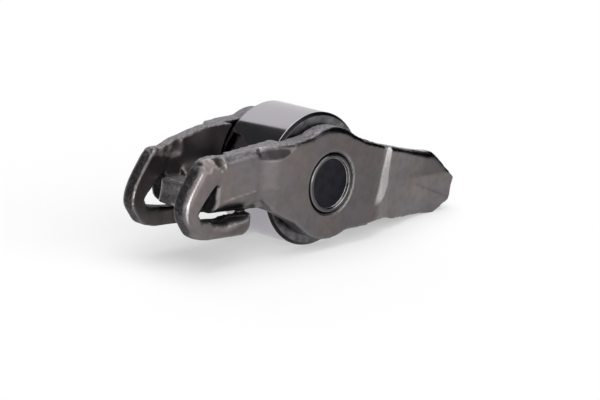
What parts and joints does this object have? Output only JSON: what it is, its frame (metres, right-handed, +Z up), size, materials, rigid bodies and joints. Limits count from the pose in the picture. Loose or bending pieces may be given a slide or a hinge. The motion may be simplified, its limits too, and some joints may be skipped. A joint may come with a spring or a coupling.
{
  "type": "rocker arm",
  "caption": "Stamped steel roller finger follower: ball socket at one end, hooked valve pallet at the other, and a cam roller on needles between its side walls.",
  "frame": {"origin": "centre of the cam roller and its axle pin, on the arm's middle plane", "axes": "+X towards the pivot socket, -X towards the valve end, Y along the axle pin, +Z up with the arm lying at rest on its roller and the tongue's lower corner"},
  "size_m": [0.0514, 0.0148, 0.017],
  "materials": {
    "arm_steel": "tumbled, case-hardened steel with a satin grey-brown tint and bright rubbed edges",
    "pin_steel": "ground steel, darkened on its dished ends",
    "roller_steel": "ground and polished bearing steel",
    "needle_steel": "polished bearing steel"
  },
  "bodies": {
    "arm": {"arm": "arm_steel", "axle_pin": "pin_steel"},
    "roller": {"roller": "roller_steel"},
    "needles": {"needle_01": "needle_steel", "needle_02": "needle_steel", "needle_03": "needle_steel", "needle_04": "needle_steel", "needle_05": "needle_steel", "needle_06": "needle_steel", "needle_07": "needle_steel", "needle_08": "needle_steel", "needle_09": "needle_steel", "needle_10": "needle_steel", "needle_11": "needle_steel", "needle_12": "needle_steel", "needle_13": "needle_steel", "needle_14": "needle_steel", "needle_15": "needle_steel", "needle_16": "needle_steel", "needle_17": "needle_steel", "needle_18": "needle_steel", "needle_19": "needle_steel"}
  },
  "joints": [
    {"name": "roller_spin", "type": "hinge", "parent": "arm", "child": "roller", "pos_m": [0, 0, 0], "axis": [0, 1, 0], "continuous": true},
    {"name": "needle_orbit", "type": "hinge", "parent": "arm", "child": "needles", "pos_m": [0, 0, 0], "axis": [0, 1, 0], "continuous": true}
  ],
  "couplings": [
    {"joint": "needle_orbit", "follows": "roller_spin", "ratio": 0.5824}
  ]
}
